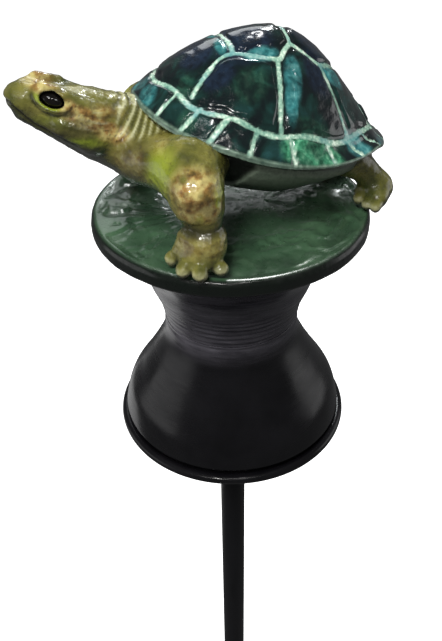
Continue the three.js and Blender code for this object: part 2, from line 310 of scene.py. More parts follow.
class Paint:
    """A node material under construction. Its methods add nodes and return the socket with their result."""

    def __init__(self, name, **shader):
        self.material = bpy.data.materials.new(name)
        self.material.use_nodes = True
        self.tree = self.material.node_tree
        self.shader = self.tree.nodes["Principled BSDF"]
        for socket, value in shader.items():
            self.shader.inputs[socket.replace("_", " ")].default_value = value
        self.place = self.add("ShaderNodeTexCoord").outputs["Object"]

    def add(self, kind, inputs=None, **settings):
        made = self.tree.nodes.new(kind)
        for key, value in settings.items():
            setattr(made, key, value)
        for key, value in (inputs or {}).items():
            self.set(made.inputs[key], value)
        return made

    def set(self, socket, value):
        if isinstance(value, bpy.types.NodeSocket):
            self.tree.links.new(value, socket)
        else:
            socket.default_value = value

    def noise(self, size, detail=4.0, stretch=(1, 1, 1), distortion=0.0):
        """Noise from 0 to 1 with features of about the given size in millimetres."""
        scaled = self.add("ShaderNodeMapping", {"Vector": self.place, "Scale": stretch})
        inputs = {"Vector": scaled.outputs[0], "Scale": 1 / (size * MM)}
        inputs.update({"Detail": detail, "Distortion": distortion})
        return self.add("ShaderNodeTexNoise", inputs).outputs["Fac"]

    def cells(self, size):
        inputs = {"Vector": self.place, "Scale": 1 / (size * MM)}
        return self.add("ShaderNodeTexVoronoi", inputs).outputs["Distance"]

    def attribute(self, name):
        return self.add("ShaderNodeAttribute", attribute_name=name).outputs["Fac"]

    def math(self, operation, a, b):
        return self.add("ShaderNodeMath", {0: a, 1: b}, operation=operation).outputs[0]

    def times(self, a, b):
        return self.math("MULTIPLY", a, b)

    def share(self, a, part, b):
        """The given part of a and the rest of b."""
        return self.math("ADD", self.times(a, part), self.times(b, 1 - part))

    def range(self, value, from_low, from_high, to_low=0.0, to_high=1.0):
        inputs = {"Value": value, "From Min": from_low, "From Max": from_high}
        inputs.update({"To Min": to_low, "To Max": to_high})
        return self.add("ShaderNodeMapRange", inputs, interpolation_type="SMOOTHSTEP").outputs[0]

    def ramp(self, value, *stops):
        """Colours [position, (r, g, b)] along a value from 0 to 1."""
        made = self.add("ShaderNodeValToRGB", {"Fac": value})
        elements = made.color_ramp.elements
        while len(elements) < len(stops):
            elements.new(0.5)
        for element, (position, colour) in zip(elements, stops):
            element.position = position
            element.color = (*colour, 1)
        return made.outputs["Color"]

    def mix(self, factor, a, b):
        made = self.add("ShaderNodeMix", data_type="RGBA")
        for socket, value in zip((made.inputs[0], made.inputs[6], made.inputs[7]), (factor, a, b)):
            self.set(socket, (*value, 1) if isinstance(value, tuple) else value)
        return made.outputs[2]

    def bump(self, height, depth, strength=1.0, under=None):
        """Bumps of the given depth in millimetres where height runs from 0 to 1."""
        inputs = {"Height": height, "Distance": depth * MM, "Strength": strength}
        if under is not None:
            inputs["Normal"] = under
        return self.add("ShaderNodeBump", inputs).outputs["Normal"]

    def finish(self, colour, roughness=None, normal=None):
        self.set(self.shader.inputs["Base Color"], colour)
        if roughness is not None:
            self.set(self.shader.inputs["Roughness"], roughness)
        if normal is not None:
            self.set(self.shader.inputs["Normal"], normal)
        return self.material


def spool_black():
    p = Paint("spool_black", Specular_IOR_Level=0.5)
    cloud = p.noise(14, 3)
    marks = p.noise(1.1, 3, stretch=(0.12, 0.12, 1))
    colour = p.ramp(cloud, (0.3, (0.002, 0.0019, 0.0025)), (0.7, (0.005, 0.0048, 0.006)))
    height = p.add("ShaderNodeSeparateXYZ", {"Vector": p.place}).outputs["Z"]
    waist = p.range(height, (SPOOL_Z + 37) * MM, (SPOOL_Z + 46) * MM)
    worn = p.share(marks, 0.6, cloud)
    scuffs = p.ramp(worn, (0.36, (0.034, 0.032, 0.04)), (0.64, (0.094, 0.089, 0.106)))
    scuffed = p.mix(waist, colour, scuffs)
    rough = p.range(p.share(cloud, 0.6, marks), 0.3, 0.7, 0.2, 0.34)
    waves = p.bump(p.noise(9, 1), 0.12)
    return p.finish(scuffed, rough, p.bump(marks, 0.012, under=waves))


def stake_coat():
    p = Paint("stake_coat", Specular_IOR_Level=0.25)
    grain = p.noise(0.5, 2)
    smear = p.noise(7, 3, stretch=(1, 1, 0.25))
    colour = p.ramp(smear, (0.3, (0.005, 0.005, 0.006)), (0.7, (0.011, 0.011, 0.013)))
    return p.finish(colour, p.range(smear, 0.3, 0.7, 0.32, 0.5), p.bump(grain, 0.03))


def zinc_steel():
    p = Paint("zinc_steel", Metallic=1.0)
    turning = p.noise(0.5, 3, stretch=(0.1, 0.1, 1.5))
    cloud = p.noise(3, 3)
    colour = p.ramp(cloud, (0.3, (0.38, 0.39, 0.4)), (0.7, (0.58, 0.58, 0.57)))
    return p.finish(colour, p.range(turning, 0.3, 0.7, 0.22, 0.45), p.bump(turning, 0.01))


def insert_brass():
    p = Paint("insert_brass", Metallic=1.0)
    cloud = p.noise(2.5, 3)
    colour = p.ramp(cloud, (0.3, (0.5, 0.34, 0.11)), (0.7, (0.68, 0.5, 0.2)))
    return p.finish(colour, p.range(cloud, 0.3, 0.7, 0.25, 0.42), p.bump(p.noise(0.4), 0.01))


def bushing_nylon():
    p = Paint("bushing_nylon", Subsurface_Weight=0.05)
    cloud = p.noise(4, 3)
    colour = p.ramp(cloud, (0.3, (0.56, 0.53, 0.45)), (0.7, (0.66, 0.63, 0.55)))
    return p.finish(colour, p.range(cloud, 0.3, 0.7, 0.45, 0.6), p.bump(p.noise(0.7), 0.01))


def disc_green():
    p = Paint("disc_green", Coat_Weight=0.6, Coat_Roughness=0.19, Specular_IOR_Level=0.3)
    cloud = p.noise(11, 5, distortion=0.6)
    fine = p.noise(1.6, 4)
    paint = p.ramp(cloud, (0.25, (0.018, 0.038, 0.022)), (0.5, (0.03, 0.066, 0.035)),
                   (0.8, (0.054, 0.106, 0.058)))
    worn = p.mix(p.range(fine, 0.62, 0.8), paint, (0.05, 0.085, 0.05))
    # Painted shade: the "low" mask darkens the side wall, the underside and the deepest hollows of the top
    # nearly to black.
    shade = p.mix(p.attribute("low"), worn, (0.0015, 0.0022, 0.0018))
    swell = p.bump(p.noise(3.5, 3, distortion=0.4), 0.25)
    return p.finish(shade, p.range(fine, 0.3, 0.7, 0.26, 0.46), p.bump(fine, 0.05, under=swell))


def skin_paint():
    p = Paint("skin_paint", Coat_Weight=0.85, Coat_Roughness=0.1, Specular_IOR_Level=0.5)
    broad = p.noise(8, 4, distortion=0.4)
    fine = p.noise(1.3, 5)
    olive = p.ramp(broad, (0.3, (0.036, 0.042, 0.009)), (0.5, (0.11, 0.108, 0.022)),
                   (0.75, (0.23, 0.21, 0.055)))
    lime = p.mix(p.attribute("lime"), olive, (0.2, 0.26, 0.016))
    orange = p.ramp(p.noise(2.8, 5), (0.3, (0.07, 0.03, 0.009)), (0.44, (0.27, 0.15, 0.042)),
                    (0.58, (0.48, 0.4, 0.15)))
    warm = p.mix(p.attribute("warm"), lime, orange)
    pale = p.mix(p.attribute("pale"), warm, (0.44, 0.44, 0.26))
    # Painted shade: the "under" mask turns the skin dark where it faces down, below the mouth and on the
    # chest.
    shade_grey = p.ramp(p.noise(2.6, 4), (0.3, (0.02, 0.024, 0.013)), (0.7, (0.07, 0.078, 0.045)))
    under = p.mix(p.attribute("under"), pale, shade_grey)
    pores = p.mix(p.range(fine, 0.56, 0.74, 0.0, 0.55), under, (0.045, 0.034, 0.01))
    # Painted shade: darkens creases, folds, grooves, the nostrils and the skin under the feet, along with a
    # few dark painted lines and flecks.
    crease_shade = p.mix(p.attribute("crease_shade"), pores, (0.01, 0.009, 0.005))
    inked = p.mix(p.attribute("ink"), crease_shade, (0.003, 0.003, 0.003))
    scales = p.bump(p.cells(1.6), 0.22, strength=0.8)
    return p.finish(inked, p.range(fine, 0.3, 0.7, 0.24, 0.42), p.bump(fine, 0.22, under=scales))


def shell_enamel():
    p = Paint("shell_enamel", Coat_Weight=1.0, Coat_Roughness=0.03, Specular_IOR_Level=0.5)
    wash = p.noise(7, 5, distortion=0.9)
    speck = p.noise(1.8, 5, distortion=0.3)
    streak = p.noise(0.9, 4)
    dark = p.ramp(wash, (0.3, (0.0015, 0.003, 0.005)), (0.48, (0.002, 0.007, 0.007)),
                  (0.62, (0.004, 0.02, 0.017)), (0.8, (0.01, 0.045, 0.045)))
    navy = p.ramp(speck, (0.3, (0.002, 0.004, 0.008)), (0.7, (0.008, 0.017, 0.034)))
    blued = p.mix(p.attribute("blue"), dark, navy)
    teal = p.ramp(speck, (0.3, (0.01, 0.07, 0.075)), (0.5, (0.028, 0.15, 0.155)),
                  (0.75, (0.11, 0.3, 0.29)))
    tealed = p.mix(p.times(p.attribute("teal"), p.range(wash, 0.3, 0.55, 0.35, 1)), blued, teal)
    emerald = p.ramp(speck, (0.3, (0.01, 0.08, 0.04)), (0.5, (0.05, 0.24, 0.13)),
                     (0.7, (0.18, 0.45, 0.28)))
    greened = p.mix(p.times(p.attribute("emerald"), p.range(wash, 0.35, 0.6, 0.3, 1)), tealed, emerald)
    # The seams' mint paint runs to white streaks: partly real paint and partly painted highlight.
    chalk_and_highlight = p.share(streak, 0.5, p.noise(4.5, 3))
    mint = p.ramp(chalk_and_highlight, (0.36, (0.09, 0.22, 0.17)), (0.5, (0.26, 0.43, 0.33)),
                  (0.62, (0.62, 0.74, 0.62)))
    cool = p.mix(p.attribute("cool"), mint, (0.06, 0.22, 0.26))
    painted = p.mix(p.attribute("seam"), greened, cool)
    lip = p.ramp(speck, (0.3, (0.05, 0.085, 0.062)), (0.7, (0.18, 0.26, 0.2)))
    rimmed = p.mix(p.attribute("rim"), painted, lip)
    inner = p.mix(p.attribute("inside"), rimmed, (0.02, 0.026, 0.02))
    rough = p.range(p.math("ADD", p.attribute("seam"), p.times(speck, 0.5)), 0.2, 1.2, 0.16, 0.36)
    return p.finish(inner, rough, p.bump(streak, 0.06, under=p.bump(p.noise(2.6, 3), 0.14)))


def belly_paint():
    p = Paint("belly_paint")
    broad = p.noise(6, 5)
    fine = p.noise(1.1, 4)
    base = p.ramp(broad, (0.25, (0.01, 0.016, 0.011)), (0.75, (0.03, 0.042, 0.03)))
    # Painted light: the plate's top band and the edge of its bridge are lightened, as if lit.
    painted_light_amount = p.times(p.range(fine, 0.3, 0.6, 0.5, 0.9), p.attribute("painted_light"))
    painted_lit = p.mix(painted_light_amount, base, (0.15, 0.19, 0.14))
    # Painted shade: the hollow behind the bridge is darkened nearly to black.
    hollow = p.mix(p.attribute("hollow"), painted_lit, (0.002, 0.0025, 0.002))
    return p.finish(hollow, p.range(fine, 0.3, 0.7, 0.42, 0.7), p.bump(fine, 0.09))


def eye_gloss():
    p = Paint("eye_gloss", Coat_Weight=1.0, Coat_Roughness=0.03, Specular_IOR_Level=0.1)
    cloud = p.noise(1.5, 3)
    colour = p.ramp(cloud, (0.3, (0.001, 0.001, 0.001)), (0.7, (0.004, 0.003, 0.002)))
    return p.finish(colour, p.range(cloud, 0.3, 0.7, 0.04, 0.1), p.bump(p.noise(1.1, 2), 0.12))


# ---- Stake and small turned parts ---------------------------------------------------------------

def ring(inner, outer, bottom, top):
    return [[inner, bottom], [outer, bottom], [outer, top], [inner, top], [inner, bottom]]


def turned_piece(name, section, body, material, lift, corner, segments):
    vertices, faces = turned(softened(section, corner), segments)
    return make(name + "_look", vertices + [0, 0, lift], faces, body, [name], material)


def stake(material):
    """The pointed rod, with a coarse metric thread cut on its stud."""
    bottom, top = low("stake_rod")[2], high("stake_rod")[2]
    shoulder, stud_r, pitch, chamfer, sides = SPOOL_Z + 73.8, 4.0, 1.25, 0.8, 48
    rod = [[0, bottom], [0.8, bottom], [STAKE_R, bottom + 25]]
    rod += [[STAKE_R, z] for z in np.linspace(bottom + 40, shoulder - 1, 24)]
    rod += [[STAKE_R, shoulder], [stud_r, shoulder]]
    stud = [[stud_r, z] for z in np.arange(shoulder + 0.6, top - 0.9, pitch / 6)]
    end = [[stud_r, top - chamfer], [stud_r - chamfer, top], [0, top]]
    vertices, faces = turned([*softened(rod, 0.4), *stud, *end], sides)
    turn = np.arctan2(vertices[:, 1], vertices[:, 0]) / (2 * np.pi)
    wave = np.abs((vertices[:, 2] / pitch - turn) % 1 - 0.5) * 2
    threaded = (vertices[:, 2] > shoulder + 1) & (vertices[:, 2] < top - 0.9)
    shrink = np.where(threaded, 1 - 0.16 * wave, 1)
    vertices[:, :2] *= shrink[:, None]
    make("stake_rod_look", vertices, faces, "stake", ["stake_rod"], material)


def small_parts(steel, nylon, brass):
    tube_top = high("core_tube")[2]
    tube = [[7.5, 0], [11, 0], [11, 1.2], [9, 1.2], [9, 69.3],
            [11, 69.3], [11, 70.5], [7.5, 70.5], [7.5, 0]]
    turned_piece("core_tube", tube, "spool", steel, SPOOL_Z, 0.5, 96)
    for name in ("lower_thrust_washer", "upper_thrust_washer"):
        section = ring(BORE_R, 9.5, low(name)[2], high(name)[2])
        turned_piece(name, section, "stake", steel, 0, 0.3, 96)
    lower = [[BORE_R, -1.8], [10.5, -1.8], [10.5, -0.3], [7.2, -0.3],
             [7.2, 12], [BORE_R, 12], [BORE_R, -1.8]]
    turned_piece("lower_bushing", lower, "spool", nylon, SPOOL_Z, 0.35, 96)
    upper = [[r, -z] for r, z in lower[::-1]]
    turned_piece("upper_bushing", upper, "spool", nylon, tube_top, 0.35, 96)
    insert = [[0, -2.6], [4.3, -2.6], [4.3, -12.9], [7.5, -12.9],
              [7.5, -11.7], [5.5, -11.7], [5.5, -1.6], [0, -1.6]]
    turned_piece("threaded_insert", insert, "stake", brass, DECK_TOP, 0.3, 96)


# ---- Spool --------------------------------------------------------------------------------------

def walled(outside, wall=2.5):
    """The closed section of a wall of the given thickness, inside an outline that runs upwards."""
    along = np.gradient(outside, axis=0)
    along /= np.linalg.norm(along, axis=1)[:, None]
    inside = outside + wall * np.stack([-along[:, 1], along[:, 0]], -1)
    return [*outside, *inside[::-1], outside[0]]


def ridges(height):
    """Depth of the fine moulded grooves round the waist."""
    band = smooth(43, 45, height) * smooth(60, 58, height)
    return 0.22 * band * (0.5 - 0.5 * np.cos(2 * np.pi * (height - WAIST) / 2.2))


def spool(black):
    """Two flared walls that meet at the waist, a beaded dish under them and a plate inside the top."""
    bell = [[37.6, 3.1], [39.1, 4.6], [39.5, 7], [37.2, 15], [32.2, 23], [27.5, 31], [23.8, 39],
            [23.1, WAIST]]
    neck = [[23.1, WAIST + 0.3], [24.5, 53], [27.2, 60], [29.6, 67], [33.4, 73], [37.2, 76.6], [38, 79]]
    for name, outline, steps in (("spool_bell", bell, 14), ("spool_neck", neck, 16)):
        outside = spline(outline, steps)
        outside[:, 0] -= ridges(outside[:, 1])
        turned_piece(name, walled(outside), "spool", black, SPOOL_Z, 0.45, 256)
    hub_r, bead_r, under, floor = 9.3, 1.85, 1.5, 2.8
    bead = arc((DISH_R - bead_r, bead_r), bead_r, -150, 150, 24)
    dish = [[hub_r, under], [DISH_R - 7, under], *bead, [DISH_R - 6, floor], [hub_r, floor], [hub_r, under]]
    turned_piece("spool_base_dish", dish, "spool", black, SPOOL_Z, 0.3, 256)
    plate = ring(hub_r, 26.2, 66.5, 69.0)
    turned_piece("spool_top_plate", plate, "spool", black, SPOOL_Z, 0.4, 160)


# ---- Disc ---------------------------------------------------------------------------------------

def disc(green):
    """The round deck: its hub is bored for the insert, and its top is brushed in thick, rippled paint."""
    under, round_r, brink, segments = -6.0, 1.6, 2.5, 420
    bore_r, bore_top, hub_r, hub_end = 5.8, -1.3, 13, -11.4
    rows = [[0, bore_top], [bore_r, bore_top], [bore_r, hub_end], [hub_r, hub_end], [hub_r, under]]
    rows = [*softened(rows, 0.4), *[[r, under] for r in np.linspace(14, DECK_R - 4, 12)]]
    rows += [*arc((DECK_R - round_r, under + round_r), round_r, -90, 0, 8)]
    rows += [[DECK_R, z] for z in np.linspace(under + round_r, -brink, 5)[1:-1]]
    rows += [*arc((DECK_R - brink, -brink), brink, 0, 90, 12)]
    rows += [[r, 0] for r in np.linspace(DECK_R - brink, 0, 100)[1:]]
    vertices, faces = turned(rows, segments)
    radius = np.hypot(vertices[:, 0], vertices[:, 1])
    flat = vertices * [1, 1, 0]
    drift = flat + 2.6 * xyz(noise(flat, 8, 5), noise(flat, 8, 6), 0 * radius)
    spoke = xyz(26 * np.arctan2(flat[:, 0], flat[:, 1]), 0.3 * radius, 0 * radius)
    grooves = np.abs(noise(spoke + 0.35 * drift, 2.7, 11)) * smooth(-14, -24, flat[:, 1])
    bank = smooth(-0.6, 0.1, noise(flat, 12, 8)) * smooth(18, 25, radius)
    turn = np.arctan2(flat[:, 1], flat[:, 0])
    lapped = xyz(24 * np.cos(turn), 24 * np.sin(turn), radius) + 0.6 * (drift - flat)
    ripples = hump(noise(lapped, 3.8, 17), 0, 0.34) * bank
    swell = fractal(drift, 5, 21, 3)
    depth = 1.1 - 0.4 * swell - 1.4 * grooves - 0.8 * ripples
    top = smooth(-0.4, 0, vertices[:, 2])
    vertices[:, 2] -= top * np.clip(depth, 0, 1.6) * smooth(DECK_R - 1.6, DECK_R - 4.5, radius)
    sides = noise(vertices * [1, 1, 0.5], 5, 33)
    side = smooth(-0.3, -1.5, vertices[:, 2]) * smooth(-12, -5.8, vertices[:, 2]) * smooth(30, 40, radius)
    vertices[:, :2] *= (1 - 0.0045 * side * (1 + sides))[:, None]
    # The "low" mask is painted shade: full on the side wall and underside, partial in the deepest hollows of
    # the brushed top.
    wall = np.maximum(smooth(DECK_R - 2.2, DECK_R - 0.7, radius), smooth(-2, -3, vertices[:, 2]))
    attributes = {"low": np.maximum(0.97 * wall, 0.4 * smooth(0.8, 1.6, depth) * top)}
    make("base_disc_look", vertices + DECK_TOP * UP, faces, "stake", ["base_disc"], green,
         attributes)


# ---- Shell --------------------------------------------------------------------------------------

SHELL_LENGTH, SHELL_WIDTH, SHELL_HEIGHT = 40.0, 30.4, 23.6
SHELL_DROOP, SHELL_BROW, SHELL_SADDLE, SHELL_TAIL = 7.2, 3.0, 3.2, 4.0
SHELL_LIP, SHELL_FLARE, SHELL_TUCK = 1.5, 0.07, 0.05
SHELL_TILT = np.radians(14.8)
SHELL_CENTRE = np.array([0, 9, 31.2])


def over_deck(p):
    """From the shell's own frame, with its rim level, to its place over the deck."""
    c, s = np.cos(SHELL_TILT), np.sin(SHELL_TILT)
    x, y, z = np.moveaxis(p, -1, 0)
    return xyz(x, c * y + s * z, c * z - s * y) + SHELL_CENTRE


def from_deck(p):
    c, s = np.cos(SHELL_TILT), np.sin(SHELL_TILT)
    x, y, z = np.moveaxis(p - SHELL_CENTRE, -1, 0)
    return xyz(x, c * y - s * z, s * y + c * z)


def saddle(side, back):
    """Depth of the hollow ahead of the shell's flared rear edge."""
    k = np.hypot(side, back)
    return SHELL_SADDLE * smooth(0, 0.7, back) * smooth(0.15, 0.75, k) * smooth(1.02, 0.88, k)


def sag(side, back):
    """How far a sheet sinks at its sides, at its brow in front and at its tail."""
    brow = SHELL_BROW * smooth(-0.35, -1.0, back) * (side**2 + back**2)
    return SHELL_DROOP * side**2 + brow + SHELL_TAIL * smooth(0.75, 1.0, back)


def oval(side, back, height, length=SHELL_LENGTH, width=SHELL_WIDTH):
    """A point of a drooping oval sheet over the plan place (side, back), which is in the unit disc."""
    stretch = 1 + np.where(back > 0, SHELL_FLARE, -SHELL_TUCK) * back**2
    x = width * side * (1 + 0.03 * back)
    return over_deck(xyz(x, length * back * stretch, height - sag(side, back)))


def dome_height(k):
    return SHELL_LIP + (SHELL_HEIGHT - SHELL_LIP) * (1 - k**1.6)


def dome(side, back):
    return oval(side, back, dome_height(np.hypot(side, back)) - saddle(side, back))


BAND = 0.86  # inner edge of the marginal scutes, of the way from the crown to the rim
# Seams of the marginal scutes: degrees round from the nose at the band and at the rim, and half the width.
MARGINALS = [(24, 24, 0.6), (43, 39.5, 0.62), (57.5, 53.5, 0.9), (73, 72, 0.66), (89, 92, 0.6),
             (109, 112, 0.55), (125, 128.5, 0.6), (141, 145, 0.5), (160, 162, 0.5), (180, 180, 0.5)]

# Corners of the scutes on the left, each (side, back).
FRONT, MIDDLE, REAR = (0.277, -0.39), (0.395, -0.08), (0.239, 0.037)
WING, LOIN, HIP, TAIL = (0.306, 0.285), (0.09, 0.5), (0.13, 0.68), (0.1, 0.78)
EDGE_1, EDGE_2, EDGE_3 = (0.474, -0.667), (0.845, -0.073), (0.673, 0.51)
EDGE_4, EDGE_5 = (0.36, 0.78), (0.15, 0.847)
SEAMS = [
    [EDGE_1, (0.359, -0.572), (0.279, -0.49), FRONT, (0.345, -0.26), MIDDLE, (0.32, -0.02), REAR],
    [REAR, (0.28, 0.16), WING, (0.2, 0.4), LOIN, (0.11, 0.59), HIP, (0.1, 0.73), TAIL, (0.12, 0.81), EDGE_5],
    [MIDDLE, (0.68, -0.08), EDGE_2],
    [WING, (0.51, 0.42), EDGE_3],
    [HIP, (0.25, 0.73), EDGE_4],
    [FRONT, (0, -0.405), (-FRONT[0], FRONT[1])],
    [REAR, (0, 0.025), (-REAR[0], REAR[1])],
    [LOIN, (0, 0.495), (-LOIN[0], LOIN[1])],
    [TAIL, (0, 0.775), (-TAIL[0], TAIL[1])],
]


def seam_lines():
    """Every seam as [points, half its width in millimetres], on both sides of the shell."""
    lines = []
    for seam in SEAMS:
        lines.append([spline(seam, 6), 0.62])
        if seam[0][0] != -seam[-1][0]:
            lines.append([spline([(-side, back) for side, back in seam], 6), 0.62])
    round_the_rim = np.radians(np.linspace(-180, 180, 145))
    wave = BAND + 0.012 * np.cos(9 * round_the_rim)
    lines.append([np.stack([wave * np.sin(round_the_rim), -wave * np.cos(round_the_rim)], -1), 0.72])
    reach = np.linspace(BAND, 1.0, 7)
    for start, end, half in MARGINALS:
        angle = np.radians(np.linspace(start, end, 7))
        for hand in (1, -1) if start < 180 else (1,):
            lines.append([np.stack([hand * reach * np.sin(angle), -reach * np.cos(angle)], -1), half])
    return lines


def patches(side, back, spots):
    """1 in the middle of any of the oval spots (side, back, half width, half length), 0 outside them."""
    total = np.zeros(len(side))
    for s, b, wide, long in spots:
        off = np.hypot((np.abs(side) - s) / wide, (back - b) / long)
        total = np.maximum(total, smooth(1.15, 0.65, off))
    return total


def sheet(rows, columns):
    """The grid over rows of [share of the way to the rim, another measure]: both, the turn, side and back."""
    k, measure = np.repeat(np.array(rows), columns, axis=0).T
    angle = np.tile(np.arange(columns) * 2 * np.pi / columns, len(rows))
    return k, measure, angle, k * np.sin(angle), -k * np.cos(angle)


def carapace(enamel):
    """The domed shell: scutes that swell between pale painted seams, a rounded rim and a plain inside."""
    columns = 460
    outside = np.concatenate([np.linspace(0.006, 0.8, 84, endpoint=False), np.linspace(0.8, 1.0, 30)])
    edge = [(1.0, 0.35), (0.999, 0.8), (0.994, 1.2), (0.984, 1.45), (0.965, 1.5), (0.94, 1.5), (0.92, 1.7)]
    inside = [(k, 3.0) for k in np.linspace(0.9, 0.006, 26)]
    rows = [(k, 0.0) for k in outside] + edge + inside
    k, drop, _, side, back = sheet(rows, columns)
    face = smooth(0.3, 0.0, drop)
    thick = 1 + 0.55 * smooth(0.3, -0.4, back) * smooth(0.2, 0.6, k)
    lowered = over_deck(from_deck(dome(side, back)) - np.outer(drop * thick, UP))

    wobble = xyz(*(noise(lowered, 7, seed) for seed in (41, 42, 43)))
    wander = lowered + 0.45 * wobble
    brush = 1 + 0.28 * noise(lowered, 3.5, 44) + 0.2 * noise(lowered, 1.2, 45)
    upper = drop < 0.5
    away = np.full(len(k), 9.0)
    for line, half in seam_lines():
        line_side, line_back = line.T
        distance = to_path(wander[upper], dome(line_side, line_back))
        away[upper] = np.minimum(away[upper], distance / (half / 0.75))
    seam = smooth(0.95, 0.55, away / brush)
    band = smooth(BAND - 0.01, BAND + 0.01, k)

    shelf = patches(side, back, [(0.53, 0.0, 0.2, 0.08), (0.3, -0.17, 0.08, 0.12)])
    shoulder = 2.5 + 1.3 * fractal(lowered, 5, 46, 2) + 2.6 * shelf - 1.3 * band
    valley = smooth(shoulder, shoulder - 0.9, away)
    sink = 0.2 + 0.5 * valley + 0.2 * smooth(1.4, 0.5, away) - 0.25 * seam
    sink += (1 - seam) * (0.12 * fractal(lowered, 6, 47, 3) + 0.1 * noise(lowered, 2.2, 48))
    grid = lowered.reshape(len(rows), columns, 3)
    along = np.gradient(grid, axis=0)
    round_it = np.roll(grid, -1, 1) - np.roll(grid, 1, 1)
    normal = np.cross(along, round_it).reshape(-1, 3)
    normal /= np.linalg.norm(normal, axis=1)[:, None]
    vertices = lowered - normal * (face * sink)[:, None]

    last_row = (len(rows) - 1) * columns
    crown = dome(np.zeros(1), np.zeros(1)) - [0, 0, sink[0]]
    vertices = np.vstack([vertices, crown, vertices[last_row:].mean(0)])
    faces = [face[::-1] for face in grid_faces(len(rows), columns)]
    faces += fan(0, columns, len(k), True) + fan(last_row, columns, len(k) + 1, False)

    marginal = band * face
    teal = patches(side, back, [
        (0.14, -0.93, 0.14, 0.06), (0.52, 0.02, 0.17, 0.07), (0.66, 0.0, 0.16, 0.05), (0.3, 0.4, 0.09, 0.1),
        (0.34, -0.19, 0.07, 0.13), (0.14, -0.45, 0.12, 0.04), (0.71, 0.6, 0.12, 0.13), (0.5, 0.9, 0.2, 0.1)])
    rear_green = patches(side, back, [(0.92, 0.1, 0.09, 0.19), (0.9, 0.32, 0.08, 0.13)])
    faint_green = patches(side, back, [
        (0.55, -0.29, 0.13, 0.13), (0.36, -0.72, 0.1, 0.07),
        (0.62, -0.72, 0.1, 0.08), (0.79, 0.2, 0.06, 0.26)])
    blue = patches(side, back, [
        (0.2, -0.3, 0.22, 0.22), (0.42, -0.5, 0.12, 0.12), (0.38, 0.24, 0.2, 0.14),
        (0.12, -0.6, 0.16, 0.12), (0.0, 0.25, 0.25, 0.2)])
    chilled = patches(side, back, [(0.3, -0.35, 0.12, 0.2), (0.66, 0.46, 0.1, 0.1)])
    attributes = {
        "seam": seam * face,
        "teal": teal * face,
        "emerald": np.maximum(rear_green, 0.1 * faint_green) * face,
        "blue": blue * face * (1 - marginal),
        "cool": smooth(0.1, 0.7, noise(lowered, 5, 49) + chilled) * 0.55,
        "rim": smooth(0.2, 0.5, drop) * smooth(1.7, 1.4, drop) + 0.9 * smooth(0.987, 0.999, k) * face,
        "inside": smooth(1.4, 1.8, drop),
    }
    padded = {key: np.concatenate([mask, mask[:1], mask[-1:]]) for key, mask in attributes.items()}
    make("carapace_look", vertices + DECK_TOP * UP, faces, "stake", ["carapace"], enamel,
         {key: np.clip(mask, 0, 1) for key, mask in padded.items()})


def plastron(paint):
    """The belly plate: a bowl whose sides rise to the shell's rim."""
    length, width, depth, wall = 36.0, 27.0, 19.5, 2.5
    columns = 320
    shape = lambda k: wall - depth + (depth - wall - 0.6) * k**4
    outside = [(k, shape(k) - wall) for k in np.sin(np.linspace(0.01, np.pi / 2, 60))]
    top = [(1.0, -1.2), (0.99, -0.75), (0.97, -0.6), (0.93, -0.6)]
    inside = [(k * (1 - wall / width), shape(k)) for k in np.sin(np.linspace(np.pi / 2 - 0.1, 0.01, 30))]
    rows = outside + top + inside
    k, height, angle, side, back = sheet(rows, columns)
    level = 3.5 * (smooth(0, 0.8, back) - smooth(0, -0.8, back)) * (1 - k**5)
    level = level - saddle(0.9 * side, 0.9 * back) * k**6
    vertices = oval(side, back, height + level, length, width)
    outer = np.repeat(np.arange(len(rows)) < len(outside), columns)
    slant = 0.6 * np.clip(24 - vertices[:, 2], 0, 12)
    past_edge = vertices[:, 1] + 1.5 + slant + 0.4 * noise(vertices, 4, 60)
    bridge = smooth(-0.8, 0.6, past_edge)
    bumps = 0.25 * fractal(vertices, 6, 61, 3) + 0.1 * noise(vertices, 1.5, 62) + 1.5 * (1 - bridge)
    inward = xyz(-np.sin(angle), np.cos(angle), 0 * angle)
    vertices = vertices + inward * (np.where(outer, 0.35 + bumps, 0) * smooth(0.3, 0.7, k))[:, None]
    vertices = vertices + np.outer(np.where(outer, 0.3 + bumps, 0) * smooth(0.9, 0.5, k), UP)
    faces = grid_faces(len(rows), columns)
    here = np.arange(columns)
    last_row = (len(rows) - 1) * columns
    faces += [here[::-1].tolist(), (last_row + here).tolist()]
    # Painted light along the bridge's edge and the top band of the plate, and painted shade in the hollow
    # behind the bridge.
    edge = hump(past_edge, 0, 0.8) * smooth(0.5, 0.75, k)
    painted_light = np.maximum(smooth(0.8, 1.0, k) * bridge, 0.8 * edge)
    make("plastron_look", vertices + DECK_TOP * UP, faces, "stake", ["plastron"], paint,
         {"painted_light": painted_light, "hollow": 0.9 * (1 - bridge) * smooth(0.5, 0.8, k)})


# ---- Turtle's skin ------------------------------------------------------------------------------

